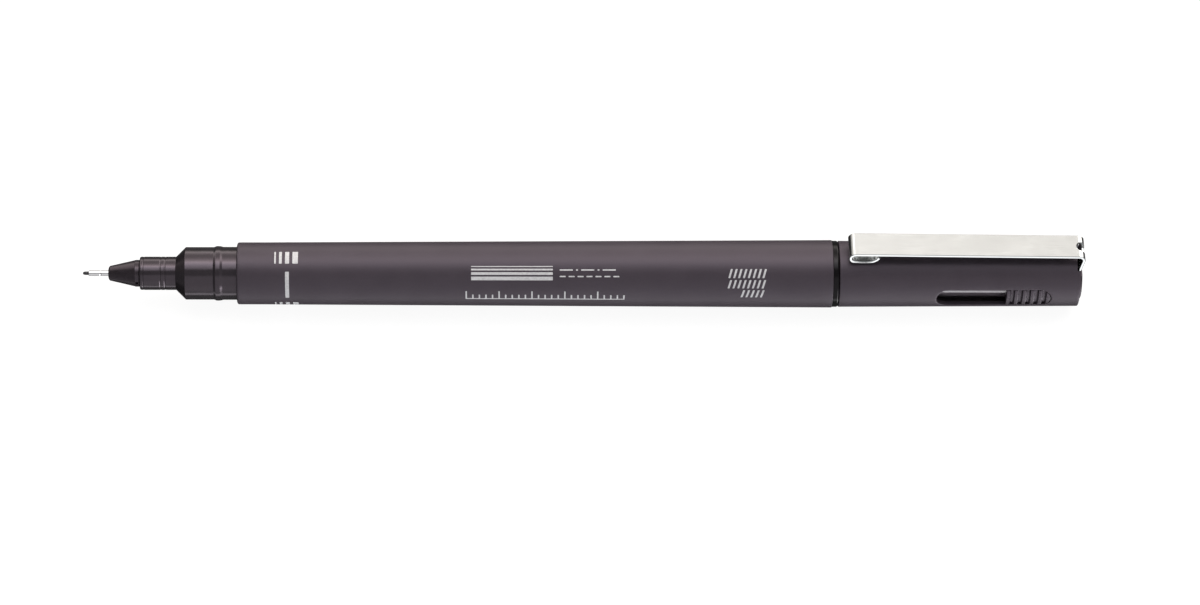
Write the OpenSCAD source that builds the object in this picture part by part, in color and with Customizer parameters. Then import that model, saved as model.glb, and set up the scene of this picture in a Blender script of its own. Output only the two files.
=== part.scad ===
// Technical pen: pigment-ink fineliner with a steel-sleeved nib,
// uncapped, with the cap posted on its tail.
// The pen axis is the X axis. The origin is the writing point, the body
// runs towards +X, and the clip of the posted cap is on top (+Z).
// "Front" is towards the writing point. All sizes are in millimetres.

/* [Writing tip] */
// Diameter of the fibre nib rod
nib_d = 0.54; // [0.4:0.02:0.54]
// Length of nib standing out of the steel sleeve
nib_out = 0.89; // [0.6:0.01:1.1]
// Outside diameter of the steel sleeve
sleeve_d = 0.84; // [0.8:0.01:0.9]
// Length of steel sleeve standing out of the nose cone
sleeve_out = 2.97; // [2.6:0.01:3.2]
// Distance of the roll crimp behind the front of the sleeve
crimp_back = 1.8; // [1.2:0.1:2.2]

/* [Nose cone] */
// Length of the conical part of the nose
cone_len = 4.12; // [3.8:0.01:4.4]
// Diameter of the nose just behind its rounded front edge
cone_front_d = 2.26; // [1.9:0.01:2.4]
// Diameter of the nose at the wide end of the cone
cone_back_d = 4.02; // [3.8:0.01:4.08]
// Diameter of the short parallel band behind the cone
band_d = 4.1; // [4.08:0.01:4.3]
// Length of the parallel band
band_len = 0.67; // [0.5:0.01:0.8]
// Width of each vent slot, measured round the band
vent_w = 0.62; // [0.4:0.02:0.8]
// Diameter of the shank that is pressed into the front section
shank_d = 3.4; // [3.2:0.05:3.6]

/* [Front section] */
// Diameter of the neck that the inner cap seals on
neck_d = 5.08; // [4.8:0.02:5.2]
// Position of the front face of the neck
neck_x = 8.72; // [8.7:0.01:8.8]
// Position where the 45 degree step cone starts
step_x = 14.23; // [14:0.01:15]
// Diameter of the collar behind the step cone
collar_d = 8.02; // [7.8:0.02:8.1]
// Diameter over the snap bead
bead_d = 8.35; // [8.2:0.01:8.36]
// Position of the middle of the snap bead
bead_x = 20.68; // [20.4:0.02:21.2]

/* [Barrel] */
// Position of the front face of the barrel
barrel_x = 23.56; // [23:0.01:24]
// Position of the rear face of the barrel
barrel_end = 114.36; // [112:0.02:115]
// Diameter of the parallel front part of the barrel
barrel_d = 9.47; // [9.4:0.01:9.6]
// Length of the parallel front part
barrel_par = 3.9; // [3.5:0.1:6]
// Diameter of the barrel at its rear face
barrel_rear_d = 10.35; // [10.1:0.01:10.5]
// Bore of the barrel round the ink reservoir
chamber_d = 7.9; // [7.8:0.02:8.1]
// Bore of the barrel round the front section
socket_d = 7.2; // [7:0.05:7.4]

/* [Tail plug] */
// Diameter of the glossy ring behind the barrel
ring_d = 10.14; // [10:0.02:10.3]
// Length of the glossy ring
ring_len = 0.9; // [0.8:0.05:1.3]
// Diameter of the stub that the cap is posted on
stub_d = 8.06; // [7.9:0.02:8.1]
// Length of the stub behind the ring
stub_len = 11.3; // [10:0.1:11.6]

/* [Cap] */
// Gap between the glossy ring and the mouth of the posted cap
mouth_gap = 0.07; // [0.03:0.01:0.15]
// Length of the cap shell
cap_len = 36.76; // [36.5:0.01:36.9]
// Outside diameter of the cap at its mouth
cap_mouth_d = 10.11; // [10.05:0.01:10.2]
// Outside diameter of the cap at its closed end
cap_end_d = 9.8; // [9.7:0.01:9.85]
// Bore of the cap shell
cap_bore_d = 8.44; // [8.42:0.01:8.5]
// Diameter of the opening in the end rim of the shell
rim_bore_d = 7.72; // [7.6:0.02:7.8]
// Distance from the mouth to the inner cap
inner_depth = 12.2; // [12:0.1:12.6]
// Diameter of the seal bore of the inner cap
seal_d = 5.2; // [5.2:0.01:5.3]
// Height of each side window
window_h = 3.5; // [3.2:0.05:3.6]
// Distance from the mouth to the front end of each window
window_front = 14.85; // [14.5:0.05:15.2]
// Distance from the mouth to the rear end of each window
window_back = 32.42; // [32.2:0.02:32.6]
// Distance from the mouth to the front of each ribbed latch pad
pad_front = 25.54; // [25.2:0.02:25.8]
// Pitch of the ribs on the latch pads
rib_pitch = 1.22; // [1.1:0.01:1.3]
// Depth of the grooves between the ribs
rib_depth = 0.34; // [0.2:0.02:0.4]
// Distance that the domed end plug stands out of the shell
plug_proud = 0.45; // [0.3:0.05:0.6]

/* [Clip] */
// Width of the clip strip
clip_w = 4.25; // [3.9:0.05:4.3]
// Thickness of the clip strip
clip_t = 0.46; // [0.44:0.01:0.6]
// Outside radius of the bend over the cap end
bend_r = 1.05; // [1:0.01:1.1]
// Width of the round-ended hole through the bend
hole_w = 1.6; // [1.4:0.05:1.8]
// Slope of the strip away from the cap, in degrees
clip_tilt = 0.9; // [0.85:0.05:1]
// Lean of the hook towards the cap end, in degrees
hook_lean = 10; // [9.5:0.5:12]
// Outside radius of the small curl at the free end
curl_r = 1.08; // [1.05:0.01:1.1]
// Outside radius of the flat part of the belly under the free end
belly_r = 6.6; // [6.2:0.1:6.8]
// Outside radius of the belly where it turns up to the free edge
turn_r = 2.6; // [2.5:0.05:2.65]

/* [Hidden] */
$fn = 96;

// In names, _x is the front of a part and _end its rear, along the pen.
// Nose and tip
nose_x = nib_out + sleeve_out;
band_x = nose_x + cone_len;
band_end = band_x + band_len;
shank_end = 15.6;
sleeve_end = 8.2;
nib_end = 10.6;

// Wick, with a tapered rear end inside the reservoir
wick_d = 1.86;
wick_end = 37.2;
wick_taper_x = wick_end - 1.2;
wick_tip_r = 0.25;

// Reservoir and its film
res_x = 32.2;
res_end = 103.4;
res_d = 7.4;
film_t = 0.15;

// Front section in the barrel, and the tail plug
step_len = (collar_d - neck_d) / 2;
socket_len = 8.2;
plug_front = 104;
ring_end = barrel_end + ring_len;
stub_end = ring_end + stub_len;

// Cap
mouth_x = ring_end + mouth_gap;
cap_end = mouth_x + cap_len;
rim_x = cap_end - 1.25;
inner_x = mouth_x + inner_depth;
inner_end = inner_x + 14.6;
plug_x = inner_end + 0.05;
pad_x = mouth_x + pad_front;
pad_end = mouth_x + window_back - 0.06;
insert_r = cap_bore_d / 2 - 0.02;  // parts fitted in the cap bore

// Clip tail, and the widths of the openings for the tail and the hook
tail_x = cap_end - 2.14;
tail_slot_w = 4.6;
hook_notch_w = 5.4;

// Radius of the outside of the cap shell at position x
function cap_radius(x) = cap_mouth_d / 2
    - (cap_mouth_d - cap_end_d) / 2 * (x - mouth_x) / cap_len;

// Points of an arc in a profile, where 0 degrees points along +X and
// 90 outwards
function arc(centre, radius, from, to, steps) =
    [for (i = [0:steps]) let (angle = from + (to - from) * i / steps)
        centre + radius * [cos(angle), sin(angle)]];

// Points of a rounded front edge that starts at [x, r] and swells
// outwards along an ellipse; the start itself is left out
function front_round(x, r, length, height, sweep, steps) =
    [for (i = [1:steps]) let (angle = i * sweep / steps)
        [x + length * (1 - cos(angle)), r + height * sin(angle)]];

// Points of a shallow groove with sloping sides in a surface of radius r
function groove(x, r, width, slope, depth) =
    [[x, r], [x + slope, r - depth],
     [x + width - slope, r - depth], [x + width, r]];

// A solid of revolution about the X axis from points [x, radius]
module turned(points) {
    rotate([0, 90, 0])
        rotate_extrude()
            polygon([for (p = points) [p[1], p[0]]]);
}

// A plain cylinder along X
module rod(d, from, to) {
    translate([from, 0, 0])
        rotate([0, 90, 0])
            cylinder(d = d, h = to - from);
}

// A side profile drawn in the X-Z plane and given a width along Y
module side_profile(width) {
    rotate([90, 0, 0])
        translate([0, 0, -width / 2])
            linear_extrude(width) children();
}

// A side profile through one side wall of the cap; side is -1 or 1
module cap_side(side) {
    translate([0, side * 4.6, 0])
        side_profile(2.4) children();
}

// A slot with round ends drawn in 2D along the first axis
module stadium(from, to, height) {
    translate([from + height / 2, 0]) circle(d = height);
    translate([to - height / 2, 0]) circle(d = height);
    translate([from + height / 2, -height / 2])
        square([to - from - height, height]);
}

// A box centred on y = 0, from its front x and lowest z
module box(x, z, length, width, height) {
    translate([x, -width / 2, z]) cube([length, width, height]);
}

// ---------------------------------------------------------------- pen

// Fibre nib: thin rod with a small bullet point
module nib() {
    r = nib_d / 2;
    color([0.09, 0.08, 0.09])
    turned(concat(
        [[0, 0]],
        front_round(0, 0.22 * r, 0.42, 0.78 * r, 90, 7),
        [[nib_end, r], [nib_end, 0]]));
}

// Stainless sleeve with a shallow roll crimp
module tip_sleeve() {
    r = sleeve_d / 2;
    bore_r = nib_d / 2 + 0.01;
    crimp_w = 0.2;
    crimp_x = nib_out + crimp_back - crimp_w / 2;
    color([0.78, 0.78, 0.8])
    turned(concat(
        [[nib_out, bore_r], [nib_out, r - 0.07],
         [nib_out + 0.02, r - 0.03], [nib_out + 0.06, r]],
        groove(crimp_x, r, crimp_w, 0.06, 0.035),
        [[sleeve_end, r], [sleeve_end, bore_r]]));
}

// Conical nose with the sleeve bore, the wick bore and two vent slots
module nose_cone() {
    sleeve_r = sleeve_d / 2;
    wick_bore_r = wick_d / 2 + 0.02;
    band_r = band_d / 2;
    shank_r = shank_d / 2;
    edge_x = nose_x + 0.1;
    edge_h = 0.24;
    edge_r = cone_front_d / 2 - edge_h;
    vent_y = 1.85;
    vent_depth = 0.8;
    color([0.2, 0.18, 0.2])
    difference() {
        turned(concat(
            [[nose_x, sleeve_r + 0.08], [edge_x, edge_r]],
            front_round(edge_x, edge_r, 0.2, edge_h, 76, 5),
            [[band_x - 0.02, cone_back_d / 2], [band_x + 0.03, band_r],
             [band_end - 0.05, band_r], [band_end, band_r - 0.05],
             [band_end, shank_r], [shank_end - 0.3, shank_r],
             [shank_end, shank_r - 0.2],
             [shank_end, wick_bore_r], [sleeve_end, wick_bore_r],
             [sleeve_end, sleeve_r], [nose_x + 0.12, sleeve_r]]));
        for (side = [-1, 1])
            translate([band_x + 0.04, side * vent_y - vent_depth / 2, -vent_w / 2])
                cube([band_len - 0.13, vent_depth, vent_w]);
    }
}

// Front section: rounded neck, 45 degree step, collar, snap bead,
// and the socket shank pressed into the barrel
module front_section() {
    neck_r = neck_d / 2;
    collar_r = collar_d / 2;
    rear_r = collar_r + 0.03;  // collar behind the bead
    bead_r = bead_d / 2;
    socket_r = socket_d / 2;
    wick_bore_r = wick_d / 2 + 0.06;
    edge_r = 0.26;
    collar_x = step_x + step_len;
    socket_end = barrel_x + socket_len;
    // the wick bore flares out to a wider rear cavity
    flare_x = 23.8;
    cavity_x = 24.6;
    cavity_r = 2.7;
    color([0.21, 0.19, 0.21])
    turned(concat(
        [[neck_x, shank_d / 2 + 0.45], [neck_x, neck_r - 0.3]],
        arc([neck_x + edge_r, neck_r - edge_r], edge_r, 172, 90, 6),
        // fine ring line near the front edge, then two fainter rings
        groove(neck_x + 0.48, neck_r, 0.16, 0.04, 0.03),
        groove(neck_x + 3.06, neck_r, 0.18, 0.05, 0.015),
        groove(neck_x + 3.76, neck_r, 0.18, 0.05, 0.015),
        // step cone and collar
        [[step_x - 0.06, neck_r], [step_x + 0.05, neck_r + 0.03],
         [collar_x - 0.09, collar_r - 0.09],
         [collar_x - 0.03, collar_r - 0.02], [collar_x + 0.05, collar_r]],
        // snap bead
        [[bead_x - 0.72, collar_r], [bead_x - 0.6, collar_r + 0.02],
         [bead_x - 0.24, bead_r - 0.03], [bead_x - 0.12, bead_r - 0.008],
         [bead_x, bead_r], [bead_x + 0.12, bead_r - 0.008],
         [bead_x + 0.26, bead_r - 0.03], [bead_x + 0.62, rear_r + 0.015],
         [bead_x + 0.78, rear_r]],
        // part inside the barrel, then the bores back to the front
        [[barrel_x, rear_r], [barrel_x, socket_r],
         [socket_end - 0.5, socket_r], [socket_end, socket_r - 0.35],
         [socket_end, cavity_r], [cavity_x, cavity_r],
         [flare_x, wick_bore_r], [shank_end, wick_bore_r],
         [shank_end, shank_d / 2], [neck_x + 0.3, shank_d / 2]]));
}

// Barrel: parallel front, long slight taper, stepped bore
module barrel() {
    rear_r = barrel_rear_d / 2;
    edge_h = 0.42;
    edge_r = barrel_d / 2 - edge_h;
    chamber_x = barrel_x + socket_len + 0.1;
    color([0.33, 0.31, 0.33])
    turned(concat(
        [[barrel_x, collar_d / 2 + 0.05], [barrel_x, edge_r]],
        front_round(barrel_x, edge_r, 0.45, edge_h, 90, 6),
        [[barrel_x + barrel_par, barrel_d / 2], [barrel_end - 0.06, rear_r],
         [barrel_end, rear_r - 0.06], [barrel_end, chamber_d / 2],
         [chamber_x, chamber_d / 2], [chamber_x, socket_d / 2],
         [barrel_x + 0.3, socket_d / 2]]));
}

// Feeder rod from the reservoir to the nib
module relay_wick() {
    r = wick_d / 2;
    front_x = sleeve_end + 0.1;
    color([0.85, 0.85, 0.83])
    difference() {
        turned([[front_x, 0], [front_x, r - 0.15], [front_x + 0.15, r],
            [wick_taper_x, r], [wick_end, wick_tip_r], [wick_end, 0]]);
        rod(nib_d, sleeve_end, nib_end);
    }
}

// Fibre bundle holding the ink, hollowed for the end of the wick
module ink_reservoir() {
    color([0.12, 0.12, 0.14])
    turned([[res_x, wick_d / 2], [res_x, res_d / 2], [res_end, res_d / 2],
        [res_end, 0], [wick_end, 0], [wick_end, wick_tip_r],
        [wick_taper_x, wick_d / 2]]);
}

// Clear film wrapped round the bundle
module reservoir_film() {
    color([0.8, 0.82, 0.85])
    difference() {
        rod(res_d + 2 * film_t, res_x, res_end);
        rod(res_d, res_x - 1, res_end + 1);
    }
}

// Tail plug: hollow insert, glossy ring, and the stub for the cap
module tail_plug() {
    ring_r = ring_d / 2;
    stub_r = stub_d / 2;
    edge_r = 0.24;
    bore_r = 3.0;
    bore_end = stub_end - 1.3;
    dimple_x = stub_end - 0.3;
    // low bead round the stub: [distance behind the ring, height]
    stub_bead = [[2.2, 0], [2.45, 0.1], [2.7, 0.13], [2.95, 0.1], [3.2, 0]];
    color([0.12, 0.11, 0.12])
    turned(concat(
        [[plug_front, bore_r], [plug_front, chamber_d / 2 - 0.3],
         [plug_front + 0.4, chamber_d / 2], [barrel_end, chamber_d / 2],
         [barrel_end, ring_r - 0.08], [barrel_end + 0.08, ring_r]],
        arc([ring_end - edge_r, ring_r - edge_r], edge_r, 90, 0, 6),
        [[ring_end, stub_r + 0.1], [ring_end + 0.1, stub_r]],
        [for (p = stub_bead) [ring_end + p[0], stub_r + p[1]]],
        [[stub_end - 0.6, stub_r], [stub_end - 0.18, stub_r - 0.2],
         [stub_end, stub_r - 0.6], [stub_end, 0.7],
         [dimple_x, 0.4], [dimple_x, 0],
         [bore_end, 0], [bore_end, bore_r]]));
}

// ---------------------------------------------------------------- cap

// Cap shell: tapered tube, end rim, two side windows, clip notch
module cap_shell() {
    mouth_r = cap_mouth_d / 2;
    end_r = cap_end_d / 2;
    bore_r = cap_bore_d / 2;
    rim_r = rim_bore_d / 2;
    mouth_edge = 0.13;
    end_edge = 0.14;
    color([0.33, 0.31, 0.33])
    difference() {
        turned(concat(
            arc([mouth_x + mouth_edge, mouth_r - mouth_edge], mouth_edge, 180, 90, 4),
            arc([cap_end - end_edge, end_r - end_edge], end_edge, 90, 0, 4),
            [[cap_end, rim_r], [rim_x, rim_r], [rim_x, bore_r],
             [mouth_x + 0.2, bore_r], [mouth_x, bore_r + 0.2]]));
        for (side = [-1, 1])
            cap_side(side)
                stadium(mouth_x + window_front, mouth_x + window_back, window_h);
        // notch for the clip hook, and relief under it for the clip tail
        box(cap_end - 0.5, 2.4, 2, hook_notch_w, 4);
        box(rim_x - 0.3, 2.7, 2, tail_slot_w, 1.02);
    }
}

// Inner cap: spool-shaped cup that seals on the neck
module inner_cap() {
    seal_r = seal_d / 2;
    waist_r = 3.5;
    floor_x = inner_end - 1.2;
    color([0.08, 0.08, 0.09])
    turned([[inner_x, insert_r - 0.3], [inner_x + 0.3, insert_r],
        [inner_x + 1.6, insert_r], [inner_x + 1.9, waist_r],
        [pad_x + 0.1, waist_r], [pad_x + 0.4, insert_r],
        [inner_end, insert_r], [inner_end, 0], [floor_x, 0],
        [floor_x, 2.2], [inner_x + 7, 2.35], [inner_x + 6.6, seal_r],
        [inner_x + 0.5, seal_r], [inner_x, seal_r + 0.25]]);
}

// Ring body and domed disc of the end plug
module plug_body() {
    disc_r = rim_bore_d / 2 - 0.03;
    bore_r = 3.0;
    face_x = cap_end + plug_proud;
    dome_x = face_x - 0.3;
    floor_x = face_x - 1.6;
    turned(concat(
        [[plug_x, bore_r], [plug_x, insert_r - 0.1],
         [plug_x + 0.1, insert_r], [rim_x, insert_r], [rim_x, disc_r],
         [dome_x, disc_r]],
        [for (i = [1:6]) let (angle = i * 90 / 6)
            [dome_x + 0.24 * sin(angle), disc_r - 0.26 * (1 - cos(angle))]],
        [[face_x - 0.02, 2.2], [face_x, 0], [floor_x, 0], [floor_x, bore_r]]));
}

// Latch pad that fills the rear of one window
module latch_pad(side) {
    pad_h = window_h - 0.1;
    inner_r = insert_r - 0.1;
    front_r = insert_r + 0.03;  // clears the inner cap
    intersection() {
        turned([[pad_x, front_r], [pad_x, cap_radius(pad_x) - 0.02],
            [pad_end, cap_radius(pad_end) - 0.02], [pad_end, inner_r],
            [plug_x, inner_r], [plug_x, front_r]]);
        cap_side(side) {
            translate([pad_x, -pad_h / 2])
                square([pad_end - pad_x - window_h / 2, pad_h]);
            translate([pad_end - pad_h / 2, 0]) circle(d = pad_h);
        }
    }
}

// End plug: body, two ribbed latch pads, clip slot
module cap_end_plug() {
    groove_count = floor((pad_end - pad_x) / rib_pitch);
    slot_z = 2.76;
    color([0.31, 0.29, 0.31])
    difference() {
        union() {
            plug_body();
            for (side = [-1, 1])
                latch_pad(side);
        }
        // grooves between the ribs
        for (i = [0:groove_count - 1])
            rotate([0, 90, 0])
                translate([0, 0, pad_x + 0.6 + i * rib_pitch])
                    difference() {
                        cylinder(r = 6, h = 0.62);
                        translate([0, 0, -1])
                            cylinder(r = cap_radius(pad_x) - 0.05 - rib_depth, h = 3);
                    }
        // slot for the tail of the clip, and notch for its hook
        box(tail_x - 0.3, slot_z, 6, tail_slot_w, 0.94);
        box(cap_end - 1.19, slot_z, 4, hook_notch_w, 4);
    }
}

// ---------------------------------------------------------------- clip

// Sheet-metal clip: tail, hook, bend, strip, curl and belly
module clip() {
    tail_z = 2.92;
    tail_r = 0.65;
    bend_centre = [cap_end - 0.47, 5.79];
    curl_x = mouth_x + 2.4;
    // angles where the curl, the belly and the upturn end
    curl_to = 256;
    belly_to = 272;
    turn_to = 328;
    // the strip runs forwards from the bend; strip_out points off the cap
    strip_out = [sin(clip_tilt), cos(clip_tilt)];
    strip_dir = [-cos(clip_tilt), sin(clip_tilt)];
    strip_start = bend_centre + (bend_r - curl_r) * strip_out;
    strip_len = (strip_start[0] - curl_x) / cos(clip_tilt);
    curl_centre = strip_start + strip_len * strip_dir;
    // the belly carries on from the curl with larger radii
    belly_centre = curl_centre + (curl_r - belly_r) * [cos(curl_to), sin(curl_to)];
    turn_centre = belly_centre + (belly_r - turn_r) * [cos(belly_to), sin(belly_to)];
    // the hook leans in from the bend to the tail inside the end plug
    hook_out = [cos(hook_lean), -sin(hook_lean)];
    hook_top = bend_centre + bend_r * hook_out;
    hook_len = (hook_top[1] - (tail_z + tail_r + tail_r * hook_out[1]))
        / cos(hook_lean);
    tail_centre = hook_top - hook_len * [sin(hook_lean), cos(hook_lean)]
        - tail_r * hook_out;
    // one face of the strip, at a depth inside its outer face
    function face(depth) = concat(
        [[tail_x, tail_z + depth]],
        arc(tail_centre, tail_r - depth, -90, -hook_lean, 10),
        arc(bend_centre, bend_r - depth, -hook_lean, 90 - clip_tilt, 20),
        arc(curl_centre, curl_r - depth, 90 - clip_tilt, curl_to, 28),
        arc(belly_centre, belly_r - depth, curl_to, belly_to, 10),
        arc(turn_centre, turn_r - depth, belly_to, turn_to, 16));
    inner = face(clip_t);
    count = len(inner);
    hole_shift = 0.25;  // offset of each round end of the hole
    color([0.86, 0.85, 0.83])
    difference() {
        side_profile(clip_w)
            polygon(concat(face(0), [for (i = [1:count]) inner[count - i]]));
        // round-ended hole through the bend
        translate([bend_centre[0], 0, bend_centre[1]])
            rotate([0, 45, 0]) {
                for (side = [-1, 1])
                    translate([side * hole_shift, 0, -0.2])
                        cylinder(d = hole_w, h = 3);
                box(-hole_shift, -0.2, 2 * hole_shift, hole_w, 3);
            }
    }
}

barrel();
front_section();
nose_cone();
tip_sleeve();
nib();
relay_wick();
ink_reservoir();
reservoir_film();
tail_plug();
cap_shell();
inner_cap();
cap_end_plug();
clip();
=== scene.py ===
"""A fibre-tipped drawing pen with its cap at the tail end, on a pale floor.

The pen lies along +X with the nib near the origin; the clip is on top (+Z), and the camera
looks down from the -Y side. Shapes are worked out in millimetres and built in metres.
"Front" is the nib end (low x), "near" is the -Y side.
"""

from math import acos, asin, atan2, ceil, cos, degrees, dist, floor, pi, radians, sin, sqrt, tan

import bmesh
import bpy
import numpy as np
from mathutils import Matrix, Vector
from mathutils.geometry import delaunay_2d_cdt


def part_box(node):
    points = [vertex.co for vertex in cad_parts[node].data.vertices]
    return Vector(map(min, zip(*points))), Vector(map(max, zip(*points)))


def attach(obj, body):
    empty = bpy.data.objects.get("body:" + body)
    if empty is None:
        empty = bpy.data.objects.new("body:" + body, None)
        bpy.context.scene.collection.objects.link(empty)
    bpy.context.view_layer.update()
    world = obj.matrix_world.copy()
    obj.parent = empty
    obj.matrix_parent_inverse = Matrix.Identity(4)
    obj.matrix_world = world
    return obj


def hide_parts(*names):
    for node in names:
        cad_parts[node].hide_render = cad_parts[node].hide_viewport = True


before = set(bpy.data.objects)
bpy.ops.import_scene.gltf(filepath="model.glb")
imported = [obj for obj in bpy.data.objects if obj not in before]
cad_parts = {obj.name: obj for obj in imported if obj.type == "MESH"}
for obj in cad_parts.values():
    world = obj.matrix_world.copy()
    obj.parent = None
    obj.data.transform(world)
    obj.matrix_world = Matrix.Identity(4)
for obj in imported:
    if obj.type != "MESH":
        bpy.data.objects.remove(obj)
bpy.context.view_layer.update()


MM = 0.001

# ------------------------------------------------------------------ main dimensions, mm


def extent(node, across=2):
    """Start x, end x and half width (along Z, or Y with across=1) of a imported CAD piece."""
    lo, hi = ([c / MM for c in corner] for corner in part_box(node))
    return lo[0], hi[0], (hi[across] - lo[across]) / 2


NIB_START, NIB_END, NIB_R = extent("nib")
SLEEVE_START, SLEEVE_END, SLEEVE_R = extent("tip_sleeve")
NOSE_START, NOSE_END, NOSE_R = extent("nose_cone")
NECK_START, NECK_END, NECK_BEAD_R = extent("front_section")
BARREL_START, BARREL_END, _ = extent("barrel")
TAIL_START, TAIL_END, TAIL_RING_R = extent("tail_plug")
MOUTH, CAP_END, CAP_R = extent("cap_shell", across=1)
LINER_START, LINER_END, LINER_R = extent("inner_cap")
PLUG_END = extent("cap_end_plug")[1]

COLLAR_R = 4.01                      # front section behind its step
BARREL_FRONT_R = 4.735
BARREL_REAR_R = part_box("barrel")[1][2] / MM
TAPER_START = BARREL_START + 3.9
TAIL_BORE_R = 3.95                   # barrel bore that holds the tail plug
PRINT_R = 4.9                        # circle that printed arc lengths are measured on

CAP_END_R = CAP_R - 0.155
CAP_BORE_R = 4.22
CAP_STATIONS = 144                   # points round the cap
RIM_R = 3.86                         # bore of the rear rim
RIM_START = CAP_END - 1.25
WINDOW_START, WINDOW_END, WINDOW_H = MOUTH + 14.85, MOUTH + 32.42, 3.5
PAD_START = MOUTH + 25.54            # latch pads fill the windows from here

CLIP_W, CLIP_T, CLIP_BEVEL = 4.25, 0.46, 0.09


def barrel_r(x):
    """Outer radius of the barrel: parallel, then tapered."""
    along = max(0.0, x - TAPER_START) / (BARREL_END - TAPER_START)
    return BARREL_FRONT_R + (BARREL_REAR_R - BARREL_FRONT_R) * along


def cap_r(x):
    return CAP_R - (CAP_R - CAP_END_R) * (x - MOUTH) / (CAP_END - MOUTH)


# ------------------------------------------------------------------ node tools


class Nodes:
    """Short calls for building a node tree; any value may be a number or a socket."""

    def __init__(self, tree):
        self.tree = tree

    def node(self, kind, **props):
        node = self.tree.nodes.new(kind)
        for key, value in props.items():
            setattr(node, key, value)
        return node

    def feed(self, socket, value):
        if isinstance(value, bpy.types.NodeSocket):
            self.tree.links.new(value, socket)
        else:
            socket.default_value = value

    def maths(self, operation, *values):
        node = self.node("ShaderNodeMath", operation=operation)
        for i, value in enumerate(values):
            self.feed(node.inputs[i], value)
        return node.outputs[0]

    def times(self, a, b):
        return self.maths("MULTIPLY", a, b)

    def ramp(self, value, to=(0.0, 1.0), over=(0.3, 0.7), **props):
        """Map the range `over` of a value to the range `to`."""
        node = self.node("ShaderNodeMapRange", **props)
        for key, number in zip(("From Min", "From Max", "To Min", "To Max"), (*over, *to)):
            node.inputs[key].default_value = number
        self.feed(node.inputs["Value"], value)
        return node.outputs["Result"]

    def fade(self, value, over):
        """0 to 1 smoothly across the range `over`."""
        return self.ramp(value, over=over, interpolation_type="SMOOTHSTEP")

    def mix(self, factor, a, b, data_type="FLOAT"):
        node = self.node("ShaderNodeMix", data_type=data_type)
        for key, value in (("Factor", factor), ("A", a), ("B", b)):
            self.feed(node.inputs[key], value)
        return node.outputs["Result"]


class Mat(Nodes):
    """A Principled material driven by nodes, with object coordinates in millimetres."""

    def __init__(self, name):
        self.material = bpy.data.materials.new(name)
        self.material.use_nodes = True
        super().__init__(self.material.node_tree)
        self.shader = self.tree.nodes["Principled BSDF"]
        coords = self.node("ShaderNodeTexCoord").outputs["Object"]
        self.coords = self.scaled(coords, (1000, 1000, 1000))
        self.normal = None

    def scaled(self, vector, scale):
        mapping = self.node("ShaderNodeMapping")
        mapping.inputs["Scale"].default_value = scale
        self.feed(mapping.inputs["Vector"], vector)
        return mapping.outputs["Vector"]

    def noise(self, scale, detail, stretch=None, rough=0.5):
        node = self.node("ShaderNodeTexNoise")
        node.inputs["Scale"].default_value = scale
        node.inputs["Detail"].default_value = detail
        node.inputs["Roughness"].default_value = rough
        vector = self.scaled(self.coords, stretch) if stretch else self.coords
        self.feed(node.inputs["Vector"], vector)
        return node.outputs["Fac"]

    def colour(self, factor, dark, light):
        mixed = self.mix(factor, (*dark, 1), (*light, 1), "RGBA")
        self.feed(self.shader.inputs["Base Color"], mixed)

    def set(self, **values):
        for key, value in values.items():
            self.feed(self.shader.inputs[key.replace("_", " ")], value)

    def bump(self, height, depth, strength):
        """Bump of a depth in mm, on top of any bump already there."""
        node = self.node("ShaderNodeBump")
        node.inputs["Distance"].default_value = depth * MM
        node.inputs["Strength"].default_value = strength
        self.feed(node.inputs["Height"], height)
        if self.normal:
            self.feed(node.inputs["Normal"], self.normal)
        self.normal = node.outputs["Normal"]
        self.feed(self.shader.inputs["Normal"], self.normal)


# ------------------------------------------------------------------ materials


def matte_black():
    m = Mat("matte_black_plastic")
    fine = m.noise(scale=7.0, detail=3.0)
    broad = m.noise(scale=0.22, detail=3.0)
    m.colour(m.maths("ADD", m.ramp(fine, to=(0.0, 0.55)), m.ramp(broad, to=(0.0, 0.45))),
             dark=(0.0258, 0.0207, 0.0260), light=(0.0366, 0.0297, 0.0370))
    roughness = m.maths("ADD", m.ramp(broad, to=(0.41, 0.45)), m.ramp(fine, to=(-0.03, 0.04)))
    m.set(Roughness=roughness, IOR=1.5, Specular_IOR_Level=0.36,
          Specular_Tint=(1.0, 0.87, 1.03, 1))
    m.bump(fine, depth=0.010, strength=0.55)
    m.bump(m.noise(scale=2.2, detail=2.0), depth=0.010, strength=0.30)
    return m.material


def gloss_black(name="gloss_black_plastic", lightness=1.0, tint=(1.0, 0.84, 0.99, 1),
                specular=0.5, coat=0.0):
    m = Mat(name)
    wave = m.noise(scale=0.55, detail=2.0)
    scuff = m.noise(scale=1.6, detail=4.0, stretch=(6.0, 1.0, 1.0))
    m.colour(m.ramp(wave),
             dark=[c * lightness for c in (0.0095, 0.0082, 0.0094)],
             light=[c * lightness for c in (0.0135, 0.0115, 0.0133)])
    m.set(Roughness=m.ramp(scuff, over=(0.35, 0.75), to=(0.11, 0.20)), IOR=1.5,
          Specular_IOR_Level=specular, Specular_Tint=tint,
          Coat_Weight=coat, Coat_Roughness=0.06, Coat_IOR=1.7)
    m.bump(wave, depth=0.05, strength=0.45)
    m.bump(m.noise(scale=9.0, detail=2.0), depth=0.003, strength=0.25)
    return m.material


def satin_black():
    m = Mat("satin_black_plastic")
    wave = m.noise(scale=1.4, detail=3.0)
    fine = m.noise(scale=10.0, detail=2.0)
    m.colour(m.ramp(wave), dark=(0.0135, 0.0113, 0.0132), light=(0.0185, 0.0154, 0.0180))
    m.set(Roughness=m.ramp(fine, to=(0.16, 0.24)), IOR=1.5, Specular_IOR_Level=0.36,
          Specular_Tint=(1.0, 0.84, 0.99, 1))
    m.bump(fine, depth=0.004, strength=0.4)
    return m.material


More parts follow.
